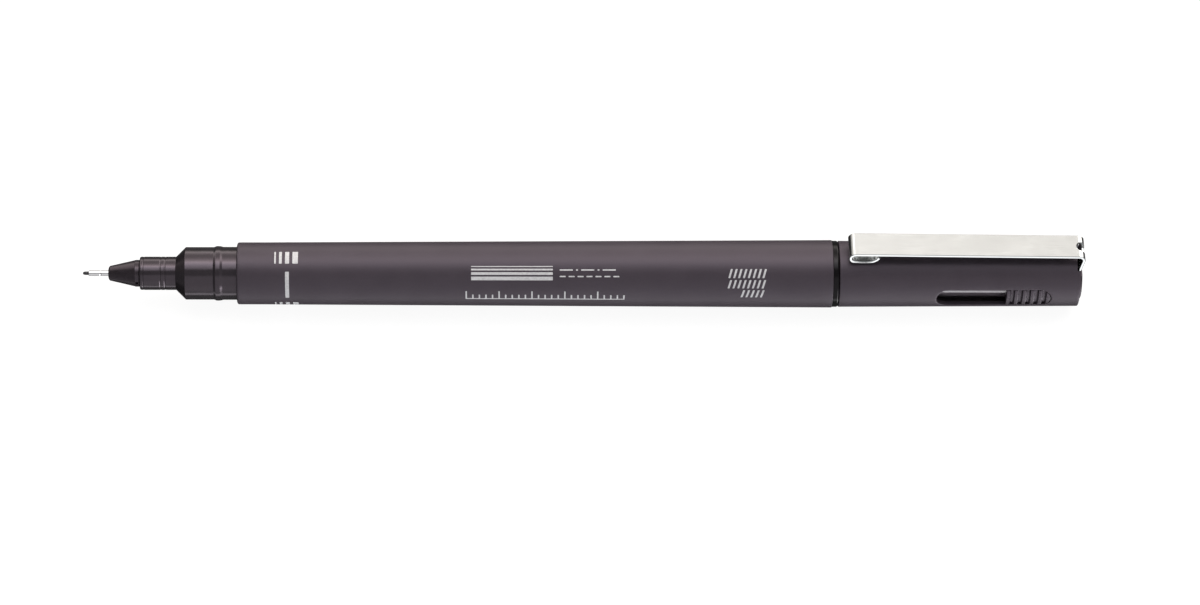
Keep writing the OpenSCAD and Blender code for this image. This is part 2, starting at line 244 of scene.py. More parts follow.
def brushed_clip():
    """Steel with brushed faces and polished long edges, darker towards the clip's rear."""
    m = Mat("brushed_clip_steel")
    grain = m.noise(scale=1.0, detail=5.0, stretch=(0.35, 14.0, 14.0), rough=0.65)
    cloud = m.noise(scale=0.35, detail=2.0)
    place_mm = m.node("ShaderNodeSeparateXYZ")
    m.feed(place_mm.inputs[0], m.coords)
    mottle = m.maths("ADD", m.ramp(grain, to=(0.0, 0.50)), m.ramp(cloud, to=(0.0, 0.15)))
    lengthwise = m.ramp(place_mm.outputs["X"], over=(120.0, 150.0), to=(0.45, -0.20))
    m.colour(m.maths("ADD", mottle, lengthwise),
             dark=(0.455, 0.468, 0.472), light=(0.530, 0.546, 0.553))
    brushed = m.maths("ADD", m.ramp(grain, to=(0.13, 0.20)), m.ramp(cloud, to=(-0.02, 0.03)))
    edge = m.maths("GREATER_THAN", m.maths("ABSOLUTE", place_mm.outputs["Y"], 0),
                   CLIP_W / 2 - 0.03)
    polish = m.ramp(edge, over=(0, 1), to=(1.0, 0.35))
    m.set(Metallic=1.0, Roughness=m.times(brushed, polish))
    m.bump(grain, depth=0.003, strength=0.20)
    return m.material


def drawn_steel():
    m = Mat("drawn_sleeve_steel")
    grain = m.noise(scale=1.0, detail=4.0, stretch=(9.0, 0.8, 0.8), rough=0.6)
    m.colour(m.ramp(grain), dark=(0.47, 0.465, 0.475), light=(0.56, 0.555, 0.565))
    m.set(Metallic=1.0, Roughness=m.ramp(grain, to=(0.07, 0.13)))
    m.bump(grain, depth=0.003, strength=0.35)
    return m.material


def fibre(name, dark, light, stretch=(0.4, 9.0, 9.0)):
    m = Mat(name)
    strands = m.noise(scale=2.0, detail=4.0, stretch=stretch, rough=0.6)
    m.colour(m.ramp(strands), dark, light)
    m.set(Roughness=m.ramp(strands, to=(0.55, 0.8)))
    m.bump(strands, depth=0.02, strength=0.6)
    return m.material


def print_ink():
    m = Mat("white_print_ink")
    thin = m.noise(scale=3.2, detail=4.0)
    fine = m.noise(scale=12.0, detail=2.0)
    m.colour(m.ramp(thin, over=(0.25, 0.6)), dark=(0.36, 0.355, 0.375), light=(0.47, 0.47, 0.485))
    m.set(Roughness=m.ramp(fine, to=(0.42, 0.55)), IOR=1.48)
    m.bump(fine, depth=0.004, strength=0.4)
    return m.material


def clear_film():
    m = Mat("clear_film")
    wave = m.noise(scale=0.8, detail=2.0)
    m.colour(m.ramp(wave), dark=(0.60, 0.62, 0.66), light=(0.70, 0.72, 0.75))
    m.set(Roughness=m.ramp(wave, to=(0.1, 0.2)), IOR=1.46)
    m.bump(wave, depth=0.02, strength=0.3)
    return m.material


def floor_paper():
    """Pale sweep seen by the camera only; the pen mirrors nothing but the studio dome."""
    m = Mat("pale_floor")
    fine = m.noise(scale=0.9, detail=3.0)
    m.colour(m.ramp(fine), dark=(0.10, 0.10, 0.10), light=(0.11, 0.11, 0.11))
    m.set(Roughness=0.9, IOR=1.3, Specular_IOR_Level=0.0,
          Emission_Color=(1, 1, 1, 1), Emission_Strength=0.925)
    shown = m.node("ShaderNodeMixShader")
    m.feed(shown.inputs[0], m.node("ShaderNodeLightPath").outputs["Is Camera Ray"])
    m.feed(shown.inputs[1], m.node("ShaderNodeBsdfTransparent").outputs[0])
    m.feed(shown.inputs[2], m.shader.outputs[0])
    m.feed(m.tree.nodes["Material Output"].inputs["Surface"], shown.outputs[0])
    return m.material


MATERIALS = {
    "matte": matte_black(),
    "gloss": gloss_black(),
    # the tail ring's copy has its colour darkened: painted shade for the ring set between the
    # barrel end and the cap mouth
    "tail": gloss_black("gloss_black_tail_painted_shade", lightness=0.16, tint=(0.97, 0.93, 1.0, 1),
                        specular=0.15),
    # the liner's copy has its colour lightened 6.5 times: painted light on the liner, which lies
    # in shade behind the windows
    "liner": gloss_black("gloss_black_liner_painted_light", lightness=6.5, tint=(1.0, 0.95, 1.04, 1),
                         specular=1.0, coat=1.0),
    "satin": satin_black(),
    "clip": brushed_clip(),
    "sleeve": drawn_steel(),
    "nib": fibre("ink_soaked_nib", dark=(0.010, 0.009, 0.011), light=(0.022, 0.020, 0.024),
                 stretch=(0.5, 22.0, 22.0)),
    "wick": fibre("ink_soaked_wick", dark=(0.030, 0.030, 0.038), light=(0.060, 0.060, 0.072)),
    "bundle": fibre("ink_fibre_bundle", dark=(0.020, 0.020, 0.026), light=(0.045, 0.045, 0.055)),
    "ink": print_ink(),
    "film": clear_film(),
    "floor": floor_paper(),
}

# ------------------------------------------------------------------ mesh tools


class Shape:
    """Vertices (mm) and faces of a mesh being put together."""

    def __init__(self):
        self.verts, self.faces = [], []

    def add(self, points):
        """Add points and return their indices."""
        start = len(self.verts)
        self.verts.extend(points)
        return list(range(start, len(self.verts)))

    def patch(self, points, polygons):
        index = self.add(points)
        self.faces.extend([index[k] for k in polygon] for polygon in polygons)

    def strip(self, a, b, columns=None):
        """Quads between two closed loops, or triangles where a loop is a single point."""
        for i in range(len(a)) if columns is None else columns:
            k = (i + 1) % len(a)
            face = list(dict.fromkeys((a[i], a[k], b[k], b[i])))
            if len(face) > 2:
                self.faces.append(face)

    def skin(self, rings, columns=None):
        for a, b in zip(rings, rings[1:]):
            self.strip(a, b, columns)

    def drop_unused(self):
        used = sorted({k for face in self.faces for k in face})
        new_index = {k: i for i, k in enumerate(used)}
        self.verts = [self.verts[k] for k in used]
        self.faces = [[new_index[k] for k in face] for face in self.faces]


def add_part(name, shape, body, material, nodes=(), angle=34.0, merge=2e-4):
    """A cleaned mesh object with outward normals, riding on a body. Edges over `angle`
    degrees are sharp; points within `merge` mm are joined."""
    mesh = bpy.data.meshes.new(name)
    mesh.from_pydata([tuple(c * MM for c in v) for v in shape.verts], [], shape.faces)
    bm = bmesh.new()
    bm.from_mesh(mesh)
    bmesh.ops.remove_doubles(bm, verts=bm.verts, dist=merge * MM)
    bmesh.ops.dissolve_degenerate(bm, edges=bm.edges, dist=merge * 0.5 * MM)
    bmesh.ops.recalc_face_normals(bm, faces=bm.faces)
    bm.to_mesh(mesh)
    bm.free()
    mesh.polygons.foreach_set("use_smooth", [True] * len(mesh.polygons))
    mesh.set_sharp_from_angle(angle=radians(angle))
    mesh.update()
    ob = bpy.data.objects.new(name, mesh)
    bpy.context.scene.collection.objects.link(ob)
    mesh.materials.append(MATERIALS[material])
    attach(ob, body)
    if nodes:
        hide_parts(*nodes)


def clamp01(value):
    return min(1.0, max(0.0, value))


def arc(cx, cy, r, start, sweep, count):
    """count + 1 points along an arc, with angles in degrees."""
    angles = [radians(start + sweep * i / count) for i in range(count + 1)]
    return [(cx + r * cos(a), cy + r * sin(a)) for a in angles]


def rounded(points, step=15.0):
    """A closed profile of (x, radius, fillet) with each corner turned into an arc."""
    out = []
    for i, (x, r, fillet) in enumerate(points):
        if fillet <= 0:
            out.append((x, r))
            continue
        before, after = points[i - 1], points[(i + 1) % len(points)]
        back = Vector((before[0] - x, before[1] - r))
        ahead = Vector((after[0] - x, after[1] - r))
        back_length, ahead_length = back.length, ahead.length
        back.normalize()
        ahead.normalize()
        half = acos(max(-1.0, min(1.0, back.dot(ahead)))) / 2
        if half < 0.01 or half > pi / 2 - 0.01:
            out.append((x, r))
            continue
        reach = min(fillet / tan(half), back_length * 0.49, ahead_length * 0.49)
        arc_r = reach * tan(half)
        corner = Vector((x, r))
        centre = corner + (back + ahead).normalized() * (arc_r / sin(half))
        start = corner + back * reach - centre
        end = corner + ahead * reach - centre
        turn = atan2(start.x * end.y - start.y * end.x, start.dot(end))
        count = max(2, int(ceil(abs(degrees(turn)) / step)))
        for j in range(count + 1):
            c, s = cos(turn * j / count), sin(turn * j / count)
            out.append((centre.x + start.x * c - start.y * s,
                        centre.y + start.x * s + start.y * c))
    return out


def place(x, r, a):
    """A point at axial position x and radius r; angle a runs from +Z towards -Y."""
    return (x, -r * sin(a), r * cos(a))


def lathe(profile, count, radius_at=lambda x, r, a: r):
    """A closed profile of (x, radius) turned about the pen axis, with an optional
    function that changes the radius at each angle."""
    shape = Shape()
    rings = []
    for x, r in profile:
        if r < 1e-6:
            rings.append(shape.add([(x, 0.0, 0.0)]) * count)
            continue
        angles = [2 * pi * j / count for j in range(count)]
        rings.append(shape.add(place(x, radius_at(x, r, a), a) for a in angles))
    shape.skin(rings + rings[:1])
    return shape


def inside(loop, points):
    """Which points lie inside a closed 2D loop."""
    lx, ly = np.array(loop).T
    px, py = np.array(points).T
    result = np.zeros(len(px), bool)
    for i in range(len(lx)):
        x1, y1, x2, y2 = lx[i - 1], ly[i - 1], lx[i], ly[i]
        crosses = (y1 > py) != (y2 > py)
        crossing_x = (x2 - x1) * (py - y1) / (y2 - y1 if y2 != y1 else 1e-30) + x1
        result ^= crosses & (px < crossing_x)
    return result


def near(loop, points, distance):
    """Which points lie within a distance of a closed 2D loop."""
    p = np.array(points, float)
    best = np.full(len(p), 1e9)
    for i in range(len(loop)):
        a, b = np.array(loop[i - 1], float), np.array(loop[i], float)
        ab = b - a
        t = np.clip(((p - a) @ ab) / max(ab @ ab, 1e-18), 0, 1)
        best = np.minimum(best, np.hypot(*(p - a - t[:, None] * ab).T))
    return best < distance


def triangulate(outer, holes, extra, margin):
    """Points and triangles of a 2D region with holes. Extra points are used where they
    lie inside it and further than the margin from its loops."""
    origin = np.array(outer[0], float)
    extra = np.array(extra, float).reshape(-1, 2)
    if len(extra):
        keep = inside(outer, extra) & ~near(outer, extra, margin)
        for hole in holes:
            keep &= ~inside(hole, extra) & ~near(hole, extra, margin)
        extra = extra[keep]
    points, edges = [], []
    for loop in [outer] + holes:
        start = len(points)
        points += [tuple(np.array(q, float) - origin) for q in loop]
        edges += [(start + i, start + (i + 1) % len(loop)) for i in range(len(loop))]
    points += [tuple(q - origin) for q in extra]
    result = delaunay_2d_cdt([Vector(q) for q in points], edges, [], 0, 1e-7, True)
    new_points, triangles, sources = result[0], result[2], result[3]
    # the solver works in single precision, so points it kept get their exact places back
    out = []
    for v, source in zip(new_points, sources):
        q = points[source[0]] if source else (v.x, v.y)
        out.append((q[0] + origin[0], q[1] + origin[1]))
    centres = np.array([np.mean([out[k] for k in t], axis=0) for t in triangles])
    keep = inside(outer, centres)
    for hole in holes:
        keep &= ~inside(hole, centres)
    return out, [list(t) for t, kept in zip(triangles, keep) if kept]


def offset_loop(loop, distance):
    """A closed loop moved to its left, with mitred corners."""
    out = []
    for i in range(len(loop)):
        a, b, c = (np.array(loop[(i + k) % len(loop)], float) for k in (-1, 0, 1))
        u, v = b - a, c - b
        u /= max(np.hypot(*u), 1e-12)
        v /= max(np.hypot(*v), 1e-12)
        left_u, left_v = np.array([-u[1], u[0]]), np.array([-v[1], v[0]])
        mitre = left_u + left_v
        mitre /= max(np.hypot(*mitre), 1e-12)
        out.append(tuple(b + mitre * distance / max(mitre @ left_u, 0.35)))
    return out


def ccw(loop):
    """The loop, turned anticlockwise."""
    twice_area = sum(loop[i - 1][0] * loop[i][1] - loop[i][0] * loop[i - 1][1]
                     for i in range(len(loop)))
    return loop if twice_area > 0 else loop[::-1]


def stadium(x0, x1, height):
    """Round-ended slot outline in 2D, anticlockwise."""
    r = height / 2
    count = 24
    steps = [(x1 - x0 - 2 * r) * i / count for i in range(1, count)]
    points = arc(x1 - r, 0.0, r, start=-90, sweep=180, count=14)
    points += [(x1 - r - step, r) for step in steps]
    points += arc(x0 + r, 0.0, r, start=90, sweep=180, count=14)
    points += [(x0 + r + step, -r) for step in steps]
    return points


def stadium_top(x0, x1, height):
    """The window outline; its top edge is laid out from the x1 end."""
    return stadium(x0, x1, height)


# ------------------------------------------------------------------ pen body
# Profiles are tables of (x, radius, fillet).


def build_nib():
    tip_length = 0.42
    tip = [radians(90 * i / 10) for i in range(1, 11)]
    profile = [(NIB_START, 0.0)]
    profile += [(tip_length * (1 - cos(a)), NIB_R * (0.22 + 0.78 * sin(a))) for a in tip]
    profile += [(NIB_END, NIB_R), (NIB_END, 0.0)]
    add_part("fibre_nib", lathe(profile, 40), "pen", "nib", ["nib"])


def build_sleeve():
    """Steel tube round the nib, with one shallow groove."""
    bore = 0.282
    groove = SLEEVE_START + 1.8
    profile = rounded([
        (SLEEVE_START, bore, 0), (SLEEVE_START, SLEEVE_R, 0.06),
        (groove - 0.14, SLEEVE_R, 0.05), (groove - 0.04, SLEEVE_R - 0.04, 0.03),
        (groove + 0.04, SLEEVE_R - 0.04, 0.03), (groove + 0.14, SLEEVE_R, 0.05),
        (SLEEVE_END, SLEEVE_R, 0), (SLEEVE_END, bore, 0)], step=18)
    add_part("steel_sleeve", lathe(profile, 64), "pen", "sleeve", ["tip_sleeve"])


def build_nose():
    """Conical nose with two vent slots in its rear band, on the -Y and +Y sides."""
    x0 = NOSE_START
    band_start, band_end = x0 + 4.12, x0 + 4.79
    vent_start, vent_end = band_start + 0.1, band_end - 0.11
    vent_half_width, vent_depth = 0.31, 0.42
    profile = rounded([
        (x0, SLEEVE_R + 0.08, 0.03), (x0 + 0.10, 0.92, 0.10), (x0 + 0.27, 1.125, 0.16),
        (band_start - 0.02, NOSE_R - 0.04, 0.12), (band_start + 0.03, NOSE_R, 0.05),
        (band_end, NOSE_R, 0.06), (band_end, 1.7, 0.02),
        (NOSE_END, 1.7, 0.2), (NOSE_END, 0.95, 0), (8.2, 0.95, 0), (8.2, 0.43, 0),
        (x0 + 0.12, 0.43, 0)])
    # extra stations across the band so that the vents have straight walls
    stations = [vent_start + d for d in (-0.01, 0.015, 0.04)]
    stations += [vent_end + d for d in (-0.04, -0.015, 0.01)]
    last = max(i for i, (x, r) in enumerate(profile)
               if r > NOSE_R - 1e-4 and x < stations[0])
    profile[last + 1:last + 1] = [(x, NOSE_R) for x in stations]

    def vented(x, r, a):
        if r < 1.9 or not vent_start < x < vent_end:
            return r
        off_centre = min(abs(a - pi / 2), abs(a - 1.5 * pi))
        across = clamp01((vent_half_width / r + 0.012 - off_centre) / 0.024)
        along = clamp01(min(x - vent_start, vent_end - x) / 0.02)
        return r - vent_depth * across * along

    add_part("nose_cone_moulding", lathe(profile, 256, vented), "pen", "satin",
             ["nose_cone"], angle=40)


def build_front_section():
    """Neck with witness rings, 45 degree step, collar and snap bead."""
    x0, neck = NECK_START, 2.54
    shallow, deep = neck - 0.035, neck - 0.05     # floors of the witness rings
    step = 14.23
    bead = 20.68
    shoulder = COLLAR_R + 0.03
    profile = rounded([
        (x0, 2.15, 0), (x0, neck - 0.03, 0.22), (x0 + 0.40, neck, 0.05),
        (x0 + 0.46, neck, 0.02), (x0 + 0.52, deep, 0.02),
        (x0 + 0.60, deep, 0.02), (x0 + 0.66, neck, 0.02),
        (x0 + 3.04, neck, 0.03), (x0 + 3.12, shallow, 0.03),
        (x0 + 3.22, shallow, 0.03), (x0 + 3.30, neck, 0.03),
        (x0 + 3.74, neck, 0.03), (x0 + 3.82, shallow, 0.03),
        (x0 + 3.92, shallow, 0.03), (x0 + 4.00, neck, 0.03),
        (step, neck, 0.10), (step + COLLAR_R - neck, COLLAR_R, 0.14),
        (bead - 0.66, COLLAR_R, 0.10), (bead - 0.34, NECK_BEAD_R - 0.02, 0.20),
        (bead, NECK_BEAD_R + 0.004, 0.8), (bead + 0.36, NECK_BEAD_R - 0.03, 0.25),
        (bead + 0.74, shoulder, 0.18), (BARREL_START + 0.1, shoulder, 0),
        (BARREL_START + 0.1, 3.6, 0), (NECK_END - 0.5, 3.6, 0.1), (NECK_END, 3.25, 0.1),
        (NECK_END, 2.7, 0), (24.6, 2.7, 0), (23.8, 0.99, 0), (15.6, 0.99, 0), (15.6, 1.7, 0),
        (x0 + 0.3, 1.7, 0)])
    add_part("front_section_moulding", lathe(profile, 144), "pen", "gloss",
             ["front_section"], angle=40)


def build_barrel():
    x0, bore = BARREL_START, 3.6
    profile = rounded([
        (x0, COLLAR_R + 0.05, 0.04), (x0, BARREL_FRONT_R - 0.02, 0.42),
        (x0 + 0.6, BARREL_FRONT_R, 0.1), (TAPER_START, BARREL_FRONT_R, 6.0),
        (BARREL_END, BARREL_REAR_R, 0.07), (BARREL_END, TAIL_BORE_R, 0),
        (x0 + 8.3, TAIL_BORE_R, 0), (x0 + 8.3, bore, 0), (x0 + 0.3, bore, 0.05)], step=12)
    # the long taper is cut up so that texture and shading stay even
    cuts = [TAPER_START + (BARREL_END - TAPER_START) * i / 40.0 for i in range(3, 40)]
    last = max(i for i, (x, r) in enumerate(profile)
               if r > BARREL_FRONT_R - 0.2 and x < TAPER_START + 4.0)
    profile[last + 1:last + 1] = [(x, barrel_r(x)) for x in cuts]
    add_part("barrel_tube", lathe(profile, 160), "pen", "matte", ["barrel"],
             angle=40)


def build_tail_plug():
    """Hollow insert, glossy ring, and stub with a snap bead."""
    x0, x1 = TAIL_START, TAIL_END
    ring_end = BARREL_END + 0.9
    stub, cavity = 4.03, 3.0
    profile = rounded([
        (x0, cavity, 0.05), (x0, 3.65, 0.1), (x0 + 0.4, TAIL_BORE_R, 0.05),
        (BARREL_END, TAIL_BORE_R, 0), (BARREL_END, TAIL_RING_R, 0.09),
        (ring_end, TAIL_RING_R, 0.24), (ring_end, 4.13, 0), (ring_end + 0.1, stub, 0.03),
        (ring_end + 2.2, stub, 0.1), (ring_end + 2.45, 4.13, 0.15),
        (ring_end + 2.7, 4.165, 0.2), (ring_end + 2.95, 4.13, 0.15),
        (ring_end + 3.2, stub, 0.1), (x1 - 0.5, stub, 0.25),
        (x1, 3.5, 0.2), (x1, 0.7, 0.1), (x1 - 0.3, 0.4, 0), (x1 - 0.3, 0, 0),
        (x1 - 1.3, 0, 0), (x1 - 1.3, cavity, 0)])
    add_part("tail_plug_moulding", lathe(profile, 144), "pen", "tail",
             ["tail_plug"], angle=40)


# ------------------------------------------------------------------ printed marks

PRINT_TOP, PRINT_BOTTOM = 0.012, -0.02     # heights above the barrel surface


def on_barrel(x, arc_length, height):
    """arc_length runs up round the print circle from the -Y side."""
    angle = arc_length / PRINT_R
    r = barrel_r(x) + height
    return (x, -r * cos(angle), r * sin(angle))


def arc_of(deg):
    return PRINT_R * radians(deg)


def add_mark(shape, loop):
    """A closed anticlockwise outline of (x, arc length) laid on the barrel as a thin solid."""
    dense = []
    for i in range(len(loop)):
        a, b = loop[i - 1], loop[i]
        n = max(1, int(ceil(dist(a, b) / 0.22)))
        dense += [(a[0] + (b[0] - a[0]) * j / n, a[1] + (b[1] - a[1]) * j / n)
                  for j in range(1, n + 1)]
    xs, arcs = zip(*dense)
    extra = [(x, w) for x in np.arange(min(xs) + 0.2, max(xs), 0.4)
             for w in np.arange(min(arcs) + 0.1, max(arcs), 0.2)]
    points, triangles = triangulate(dense, [], extra, margin=0.05)
    shape.patch([on_barrel(x, w, PRINT_TOP) for x, w in points], triangles)
    shape.patch([on_barrel(x, w, PRINT_BOTTOM) for x, w in points],
                [t[::-1] for t in triangles])
    shape.skin([shape.add(on_barrel(x, w, height) for x, w in dense)
                for height in (PRINT_TOP, PRINT_BOTTOM)])


def add_bar(shape, x, arc_mid, along, around, corner, slant=0.0):
    """A bar centred at (x, arc_mid), sized along and around the pen, with round corners."""
    c = min(corner, along * 0.45, around * 0.45)
    points = []
    for side_x, side_y, start in ((1, 1, 0), (-1, 1, 90), (-1, -1, 180), (1, -1, 270)):
        points += arc(side_x * (along / 2 - c), side_y * (around / 2 - c), c,
                      start, sweep=90, count=3)
    add_mark(shape, [(x + px + slant * py, arc_mid + py) for px, py in points])


def build_print():
    shape = Shape()
    # line-weight symbol and circumferential bar, repeated round the front of the barrel
    for k in range(3):
        turn = -110.0 * k
        x = 29.35
        for along in (0.24, 0.42, 0.62, 0.84):
            add_bar(shape, x + along / 2, arc_of(turn + 82.3), along, around=2.14, corner=0.07)
            x += along + 0.49
        add_bar(shape, 31.30, arc_of(turn + 27.7), along=0.58, around=4.62, corner=0.12)
    # line-weight chart
    top = arc_of(65.0)
    for weight in (0.14, 0.26, 0.40, 0.56):
        add_bar(shape, 65.45, top - weight / 2, along=12.4, around=weight, corner=0.05)
        top -= weight + 0.27
    # line-type samples: dash-dot and dashed
    x = 72.7
    for along in (2.0, 0.3, 2.0, 0.3, 2.0):
        add_bar(shape, x + along / 2, arc_of(58.0), along, around=0.20, corner=0.05)
        x += along + 0.48
    x = 72.7
    for _ in range(7):
        add_bar(shape, x + 0.45, arc_of(46.5), along=0.9, around=0.20, corner=0.05)
        x += 1.36
    # graduated rule
    base = arc_of(0.6)
    add_bar(shape, 70.5, base, along=24.2, around=0.17, corner=0.05)
    for i in range(25):
        tick = 1.52 if i % 5 == 0 else 0.86
        add_bar(shape, 58.5 + i * 1.0, base + tick / 2, along=0.22, around=tick, corner=0.05)
    # three rows of hatching: (low degrees, high degrees, strokes, end x)
    for low, high, strokes, end in ((44.1, 59.6, 8, 104.2), (25.7, 40.6, 8, 104.1),
                                    (7.0, 22.2, 5, 103.9)):
        for i in range(strokes):
            add_bar(shape, end - 0.35 - i * 0.74, arc_of((low + high) / 2), along=0.30,
                    around=arc_of(high) - arc_of(low), corner=0.06, slant=0.30)
    add_part("barrel_print", shape, "pen", "ink", angle=50)


# ------------------------------------------------------------------ cap shell

NOTCH_START, NOTCH_HALF_W = CAP_END - 0.5, 2.7
NOTCH_STATION = 14                   # ring station that lies on the notch wall


def even_angle(r, j):
    return 2 * pi * j / CAP_STATIONS


def notch_angle(r, j):
    """Angle of station j, shifted so that NOTCH_STATION and its mirror lie on the walls."""
    a, side = 2 * pi * j / CAP_STATIONS, 1.0
    if j > CAP_STATIONS / 2:
        a, side = 2 * pi - a, -1.0
    even_wall = 2 * pi * NOTCH_STATION / CAP_STATIONS
    wall = asin(NOTCH_HALF_W / r)
    if a <= even_wall:
        a = a * wall / even_wall
    elif a < pi / 2:
        a = wall + (a - even_wall) * (pi / 2 - wall) / (pi / 2 - even_wall)
    return side * a


def relief(r, a):
    """Rim bore, widened at the top to flat limits in height and width."""
    if cos(a) <= 0:
        return r
    return max(r, min(3.72 / max(cos(a), 1e-6), 2.3 / max(abs(sin(a)), 1e-6)))


def add_ring(shape, x, r, angle_of=even_angle, radius_at=lambda r, a: r):
    angles = [angle_of(r, j) for j in range(CAP_STATIONS)]
    return shape.add(place(x, radius_at(r, a), a) for a in angles)


def add_cap_front(shape, end):
    """Outside, rounded mouth, inner chamfer and bore, back to x = end."""
    profile = [(x, cap_r(x)) for x in np.linspace(end, MOUTH + 0.16, 8)]
    profile += arc(MOUTH + 0.15, CAP_R - 0.15, 0.15, start=90, sweep=90, count=6)[1:]
    profile += [(MOUTH, CAP_BORE_R + 0.24), (MOUTH + 0.03, CAP_BORE_R + 0.20),
                (MOUTH + 0.18, CAP_BORE_R + 0.03), (MOUTH + 0.24, CAP_BORE_R)]
    profile += [(x, CAP_BORE_R) for x in np.linspace(MOUTH + 1.5, end, 5)]
    shape.skin([add_ring(shape, x, r) for x, r in profile])


def window_loop(r_of, side, grow):
    """Window outline grown by `grow`, as (x, angle) on the surface of radius r_of(x).
    side is 1 for the -Y window and -1 for the +Y one."""
    out = []
    for x, z in offset_loop(stadium_cap(), -grow):
        rise = asin(max(-1, min(1, z / r_of(x))))
        out.append((x, (pi / 2 - rise) if side > 0 else (1.5 * pi + rise)))
    return out


def stadium_cap():
    return WINDOW_OUTLINE


def add_window_sheet(shape, start, end, r_of, grow):
    """One wall surface between start and end, unrolled as (x, arc), with both windows."""
    unroll_r = 4.8
    around = 2 * pi * unroll_r
    count = CAP_STATIONS
    xs = list(np.linspace(start, end, 18))
    windows = [ccw([(x, a * unroll_r) for x, a in window_loop(r_of, side, grow)])
               for side in (1, -1)]
    outer = [(start, around * j / count) for j in range(count, -1, -1)]
    outer += [(x, 0.0) for x in xs[1:-1]]
    outer += [(end, around * j / count) for j in range(count + 1)]
    outer += [(x, around) for x in xs[-2:0:-1]]
    extra = [(x, around * j / count) for x in xs[1:-1] for j in range(1, count)]
    # closer points round the window ends
    close_xs = [*np.arange(WINDOW_START - 0.5, WINDOW_START + 2.2, 0.35),
                *np.arange(WINDOW_END - 2.0, WINDOW_END + 0.6, 0.35)]
    extra += [(x, around * j / count) for x in close_xs for j in range(1, count)
              if abs(((j / count * 360) % 180) - 90) < 34]
    points, triangles = triangulate(outer, windows, extra, margin=0.09)
    shape.patch([place(x, r_of(x), u / unroll_r) for x, u in points], triangles)


def add_cap_middle(shape, start, end):
    """The part with the windows: outer and inner sheets joined by the window walls."""
    rounding, steps, chamfer = 0.11, 3, 0.05
    add_window_sheet(shape, start, end, cap_r, rounding)
    add_window_sheet(shape, start, end, lambda x: CAP_BORE_R, chamfer)

    def wall_loop(r_of, side, grow):
        return shape.add(place(x, r_of(x), a) for x, a in window_loop(r_of, side, grow))

    for side in (1, -1):
        loops = []
        for k in range(steps, -1, -1):
            angle = pi / 2 * k / steps
            depth = rounding * (1 - sin(angle))
            loops.append(wall_loop(lambda x: cap_r(x) - depth, side, rounding * (1 - cos(angle))))
        loops.append(wall_loop(lambda x: CAP_BORE_R + chamfer, side, 0.0))
        loops.append(wall_loop(lambda x: CAP_BORE_R, side, chamfer))
        shape.skin(loops)


def add_cap_rear(shape, start):
    """Outside and stepped bore up to the notch floor, then the rim with the notch on top."""
    outside = [add_ring(shape, x, cap_r(x), angle_of) for x, angle_of in (
        (start, even_angle), (start + 0.9, even_angle),
        (NOTCH_START - 0.45, notch_angle), (NOTCH_START, notch_angle))]
    bore = [add_ring(shape, start, CAP_BORE_R),
            add_ring(shape, RIM_START, CAP_BORE_R, notch_angle),
            add_ring(shape, RIM_START, RIM_R, notch_angle, relief),
            add_ring(shape, NOTCH_START, RIM_R, notch_angle, relief)]
    shape.skin(outside)
    shape.skin(bore)
    notch = [j % CAP_STATIONS for j in range(-NOTCH_STATION, NOTCH_STATION)]
    shape.strip(outside[-1], bore[-1], notch)
    rim = arc(CAP_END - 0.15, CAP_END_R - 0.15, 0.15, start=90, sweep=-90, count=6)
    rim += [(CAP_END, RIM_R + 0.06), (CAP_END - 0.018, RIM_R + 0.018), (CAP_END - 0.06, RIM_R)]
    rings = [outside[-1], *(add_ring(shape, x, r, notch_angle) for x, r in rim), bore[-1]]
    shape.skin(rings, [j for j in range(CAP_STATIONS) if j not in notch])
    for j in (NOTCH_STATION, CAP_STATIONS - NOTCH_STATION):
        shape.faces.append([ring[j] for ring in rings])


WINDOW_OUTLINE = stadium(WINDOW_START, WINDOW_END, WINDOW_H)


def build_cap_shell():
    middle_start, middle_end = WINDOW_START - 1.6, WINDOW_END + 1.4
    shape = Shape()
    add_cap_front(shape, middle_start)
    add_cap_middle(shape, middle_start, middle_end)
    add_cap_rear(shape, middle_end)
    shape.drop_unused()
    add_part("cap_shell_tube", shape, "cap", "matte", ["cap_shell"], angle=38)


# ------------------------------------------------------------------ cap fittings


def build_liner():
    """Inner cap, the glossy liner behind the windows."""
    x0, x1, r, waist = LINER_START, LINER_END, LINER_R, 3.5
    profile = rounded([
        (x0, r - 0.3, 0.08), (x0 + 0.3, r, 0.1), (x0 + 1.6, r, 0.08), (x0 + 1.9, waist, 0.25),
        (PAD_START + 0.1, waist, 0.2), (PAD_START + 0.4, r, 0.08), (x1, r, 0.08), (x1, 0, 0),
        (x1 - 1.2, 0, 0), (x1 - 1.2, 2.2, 0.3), (x0 + 7, 2.35, 0.1), (x0 + 6.6, 2.6, 0.1),
        (x0 + 0.5, 2.6, 0.1), (x0, 2.85, 0.05)])
    add_part("inner_cap_liner", lathe(profile, 128), "cap", "liner",
             ["inner_cap"], angle=40)


def build_end_plug():
    """Domed disc with a flat on top for the clip hook."""
    x0, x1, r = LINER_END + 0.05, PLUG_END, LINER_R
    disc_r = RIM_R - 0.03
    flat_start, flat_z = 149.65, 2.76
    profile = rounded([
        (x0, 3.0, 0), (x0, r - 0.1, 0.04), (x0 + 0.1, r, 0.04), (149.50, r, 0),
        (flat_start - 0.01, r, 0), (flat_start + 0.01, r, 0), (RIM_START, r, 0),
        (RIM_START, disc_r, 0), (150.89, disc_r, 0), (150.91, disc_r, 0), (151.4, disc_r, 0),
        (151.9, disc_r, 0), (x1 - 0.06, disc_r, 0.27), (x1 - 0.035, 2.6, 0.8),
        (x1 - 0.008, 1.3, 0), (x1, 0, 0), (x1 - 1.6, 0, 0), (x1 - 1.6, 2.4, 0),
        (149.4, 2.4, 0), (149.2, 3.0, 0)], step=12)

    def flattened(x, r, a):
        if x < flat_start or r < 2.5 or cos(a) <= 0:
            return r
        return min(r, flat_z / cos(a))

    add_part("cap_end_plug_body", lathe(profile, 180, flattened), "cap", "matte",
             ["cap_end_plug"], angle=36)


